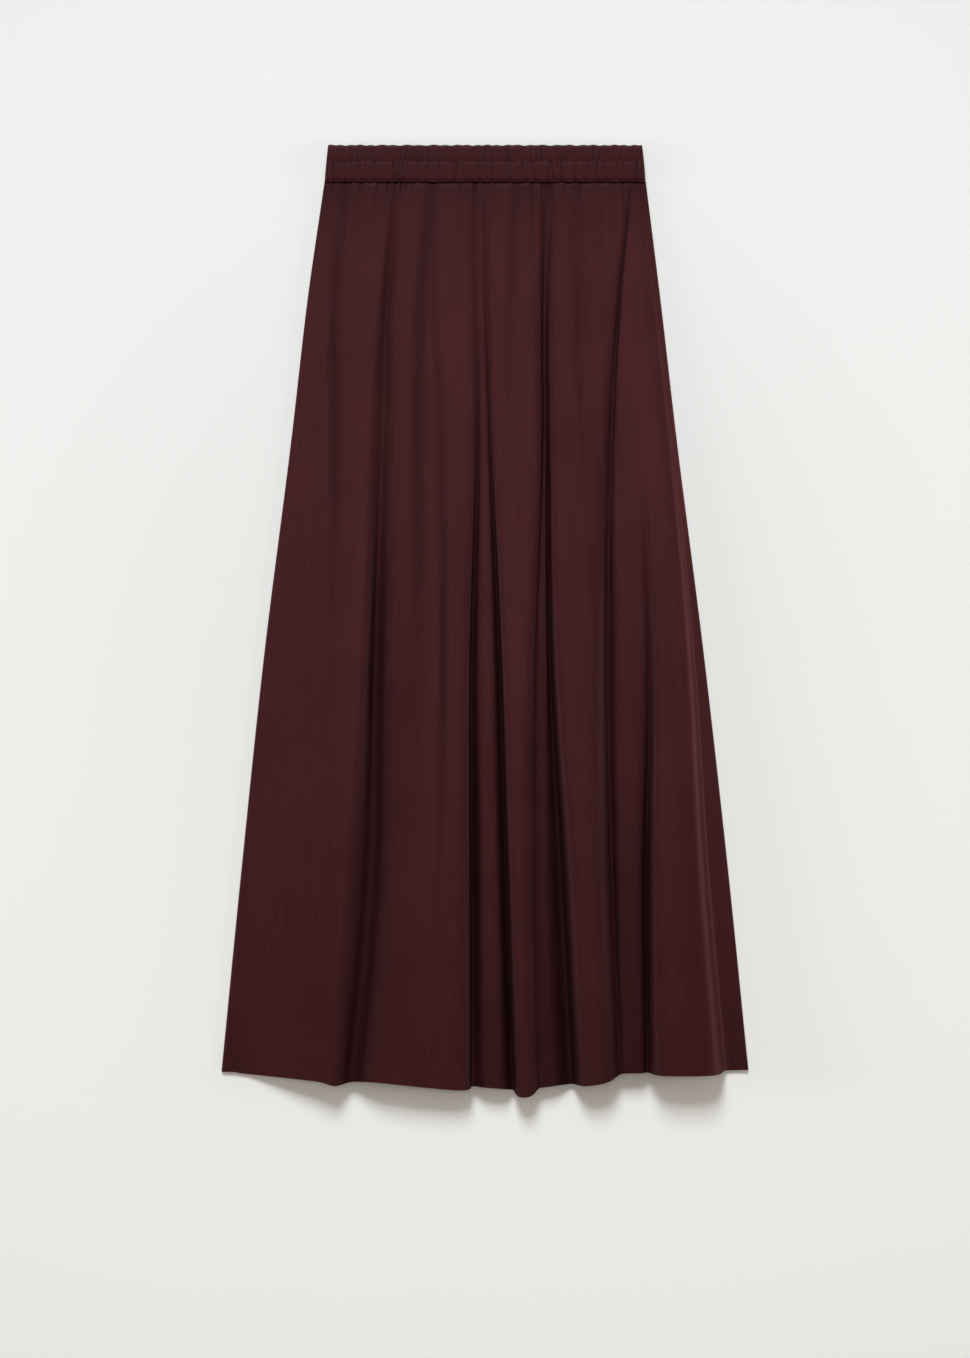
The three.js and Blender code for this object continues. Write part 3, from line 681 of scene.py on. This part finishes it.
def satinViscose(name, slubs):
    material, tree = newMaterial(name)
    cloth = addNode(tree, "ShaderNodeUVMap", {"uv_map": "cloth"})
    streakScale = (1000 / satin["slubWidth"], 1000 / satin["slubLength"], 1)
    streaks = addNode(tree, "ShaderNodeMapping", {"Scale": streakScale}, {"Vector": cloth.outputs["UV"]})
    slub = addNode(tree, "ShaderNodeTexNoise", {"Scale": 1, "Detail": 3, "Roughness": 0.6},
                   {"Vector": streaks.outputs["Vector"]})
    weave = addNode(tree, "ShaderNodeMapping", {"Scale": (1000 / satin["threadPitch"], 160, 1)},
                    {"Vector": cloth.outputs["UV"]})
    threads = addNode(tree, "ShaderNodeTexNoise", {"Scale": 1, "Detail": 2}, {"Vector": weave.outputs["Vector"]})
    patches = addNode(tree, "ShaderNodeTexNoise", {"Scale": 9, "Detail": 2}, {"Vector": cloth.outputs["UV"]})
    both = addNode(tree, "ShaderNodeMix", {"data_type": "FLOAT", "Factor": 0.4},
                   {"A": slub.outputs["Fac"], "B": patches.outputs["Fac"]})
    tone = addNode(tree, "ShaderNodeValToRGB", links={"Fac": both.outputs["Result"]})
    tone.color_ramp.elements[0].position = 0.36
    tone.color_ramp.elements[0].color = linearColour(satin["dark"])
    tone.color_ramp.elements[1].position = 0.66
    tone.color_ramp.elements[1].color = linearColour(satin["light"])
    middle = tone.color_ramp.elements.new(0.5)
    middle.color = linearColour(satin["base"])
    # painted shade and highlights of folds, creases and gathers, read from the mesh attribute, scale the colour
    shade = addNode(tree, "ShaderNodeAttribute", {"attribute_name": "painted_fold_shading"})
    colour = addNode(tree, "ShaderNodeVectorMath", {"operation": "SCALE"},
                     {"Vector": tone.outputs["Color"], "Scale": shade.outputs["Fac"]})
    gloss = addNode(tree, "ShaderNodeMapRange", {"To Min": satin["roughness"] - 0.05, "To Max": satin["roughness"] + 0.07},
                    {"Value": slub.outputs["Fac"]})
    coarse = addNode(tree, "ShaderNodeBump", {"Strength": satin["bump"] * slubs, "Distance": 0.0006},
                     {"Height": slub.outputs["Fac"]})
    fine = addNode(tree, "ShaderNodeBump", {"Strength": satin["bump"] * 0.6, "Distance": 0.0002},
                   {"Height": threads.outputs["Fac"], "Normal": coarse.outputs["Normal"]})
    shader = addNode(tree, "ShaderNodeBsdfPrincipled", {
        "Specular IOR Level": satin["specular"], "Sheen Weight": satin["sheen"], "Sheen Roughness": 0.45,
        "Sheen Tint": linearColour(satin["sheenTint"]), "Metallic": satin["metallic"]},
        {"Base Color": colour.outputs["Vector"], "Roughness": gloss.outputs["Result"], "Normal": fine.outputs["Normal"]})
    addNode(tree, "ShaderNodeOutputMaterial", links={"Surface": shader.outputs["BSDF"]})
    return material


def spunThread(name):
    # Polyester sewing thread dyed to the cloth: a touch glossier than it.
    material, tree = newMaterial(name)
    where = addNode(tree, "ShaderNodeTexCoord")
    twist = addNode(tree, "ShaderNodeTexNoise", {"Scale": 900, "Detail": 1}, {"Vector": where.outputs["Object"]})
    tone = addNode(tree, "ShaderNodeValToRGB", links={"Fac": twist.outputs["Fac"]})
    tone.color_ramp.elements[0].color = linearColour(satin["dark"])
    tone.color_ramp.elements[1].color = linearColour(satin["light"])
    shader = addNode(tree, "ShaderNodeBsdfPrincipled", {"Roughness": 0.5, "Specular IOR Level": 0.2},
                     {"Base Color": tone.outputs["Color"]})
    addNode(tree, "ShaderNodeOutputMaterial", links={"Surface": shader.outputs["BSDF"]})
    return material


def seamlessPaper(name):
    # Matt off-white background paper with painted shade: a little greyer where the light is strongest and darker
    # towards the top, so it looks even.
    material, tree = newMaterial(name)
    where = addNode(tree, "ShaderNodeTexCoord")
    along = addNode(tree, "ShaderNodeVectorMath", {"operation": "DOT_PRODUCT", 1: (0.09, -0.6, 0)},
                    {0: where.outputs["Object"]})
    share = addNode(tree, "ShaderNodeMath", {"operation": "ADD", 1: 0.5}, {0: along.outputs["Value"]})
    tone = addNode(tree, "ShaderNodeValToRGB", links={"Fac": share.outputs["Value"]})
    tone.color_ramp.elements[0].color = linearColour(paper["top"])
    tone.color_ramp.elements[1].color = linearColour(paper["bottom"])
    away = addNode(tree, "ShaderNodeVectorMath", {"operation": "LENGTH"}, {0: where.outputs["Object"]})
    pool = addNode(tree, "ShaderNodeMapRange", {
        "interpolation_type": "SMOOTHERSTEP", "From Min": 0, "From Max": paper["poolSize"],
        "To Min": 1 - paper["pool"], "To Max": 1}, {"Value": away.outputs["Value"]})
    colour = addNode(tree, "ShaderNodeVectorMath", {"operation": "SCALE"},
                     {"Vector": tone.outputs["Color"], "Scale": pool.outputs["Result"]})
    shader = addNode(tree, "ShaderNodeBsdfPrincipled", {
        "Roughness": paper["roughness"], "Specular IOR Level": 0.1}, {"Base Color": colour.outputs["Vector"]})
    addNode(tree, "ShaderNodeOutputMaterial", links={"Surface": shader.outputs["BSDF"]})
    return material


skirtSatin = satinViscose("satin_faced_viscose", 1.0)
casingSatin = satinViscose("gathered_satin_casing", 1.3)
thread = spunThread("spun_polyester_thread")
for piece, material, slot, nodes in (
        (frontCloth, skirtSatin, "skirt_cloth", ["front_panel"]),
        (backCloth, skirtSatin, "skirt_cloth", ["back_panel"]),
        (frontBand, casingSatin, "waistband_cloth", ["waistband_front"]),
        (backBand, casingSatin, "waistband_cloth", ["waistband_back"]),
        (frontHemStitches, thread, "skirt_cloth", []),
        (backHemStitches, thread, "skirt_cloth", []),
        (bandStitches[0], thread, "waistband_cloth", []),
        (bandStitches[1], thread, "waistband_cloth", [])):
    piece.data.materials.append(material)
    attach(piece, "root")
    if nodes:
        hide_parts(*nodes)
print("materials set")

surface = {"size": 9000, "drop": 0.3}
half = surface["size"] / 2
corners = np.array([[-half, -half], [half, -half], [half, half], [-half, half]], float)
floorPoints = np.concatenate([corners, np.full((4, 1), -surface["drop"])], 1)
floorPiece = meshPiece("surface", floorPoints, np.array([[0, 1, 2, 3]]))
floorPiece.data.materials.append(seamlessPaper("seamless_paper"))

# The shares in the comments are parts of the light that falls on the middle of the paper.
studio = {
    "ambient": 0.25,
    "ambientColour": "#ffe8cd",  # warm, as the shadows on the paper are
    "key": {"power": 650, "distance": 7, "elevation": 35.5, "turn": -8, "size": 2.4},  # past the waistband, 0.5
    "left side": {"power": 105, "distance": 4, "elevation": 8, "turn": -90, "size": 1},  # low, 0.05
    "right side": {"power": 90, "distance": 4, "elevation": 8, "turn": 90, "size": 1},  # low, 0.04
    "overhead": {"power": 66, "height": 2.4, "y": 0.2, "cone": 50},  # on the upper half, 0.2
    "colour": "#ffffff",
    "keyColour": "#ebf4f8",
}


def addLight(name, kind, strength, colour, place=(0, 0, 0), turn=(0, 0, 0), **settings):
    light = bpy.data.lights.new(name, kind)
    light.energy = strength
    light.color = linearColour(colour)[:3]
    for key, value in settings.items():
        setattr(light, key, value)
    holder = bpy.data.objects.new(name, light)
    holder.location, holder.rotation_euler = place, turn
    bpy.context.scene.collection.objects.link(holder)
    return holder


world = bpy.data.worlds.new("studio")
bpy.context.scene.world = world
world.use_nodes = True
background = world.node_tree.nodes["Background"]
background.inputs["Color"].default_value = linearColour(studio["ambientColour"])
background.inputs["Strength"].default_value = studio["ambient"]
for name in ("key", "left side", "right side"):
    soft = studio[name]
    tilt, turn, away = math.radians(soft["elevation"]), math.radians(soft["turn"]), soft["distance"]
    place = (away * math.cos(tilt) * math.sin(turn), away * math.cos(tilt) * math.cos(turn), away * math.sin(tilt))
    colour = studio["keyColour" if name == "key" else "colour"]
    addLight(name, "AREA", soft["power"], colour, place, (tilt - math.pi / 2, 0, -turn), size=soft["size"])
top = studio["overhead"]
addLight("overhead", "SPOT", top["power"], studio["colour"], (0, top["y"], top["height"]),
         spot_size=math.radians(top["cone"]), spot_blend=1.0, shadow_soft_size=0.4)

view = {
    "distance": 2200,
    "perPixel": 1.05,  # mm of the surface to a pixel of the 970 by 1358 picture
    "centreRow": 679,
    "seamRow": 182,  # the picture's row of the waist seam
}
lens = bpy.data.cameras.new("camera")
lens.sensor_width = 36
lens.lens = 36 * view["distance"] / (1358 * view["perPixel"])
lens.clip_end = 100
camera = bpy.data.objects.new("camera", lens)
middle = seamY - (view["centreRow"] - view["seamRow"]) * view["perPixel"]
camera.location = (0, middle * 0.001, view["distance"] * 0.001)
bpy.context.scene.collection.objects.link(camera)
bpy.context.scene.camera = camera
bpy.context.scene.view_settings.view_transform = "Standard"
bpy.context.scene.view_settings.look = "None"
print("studio and camera set")
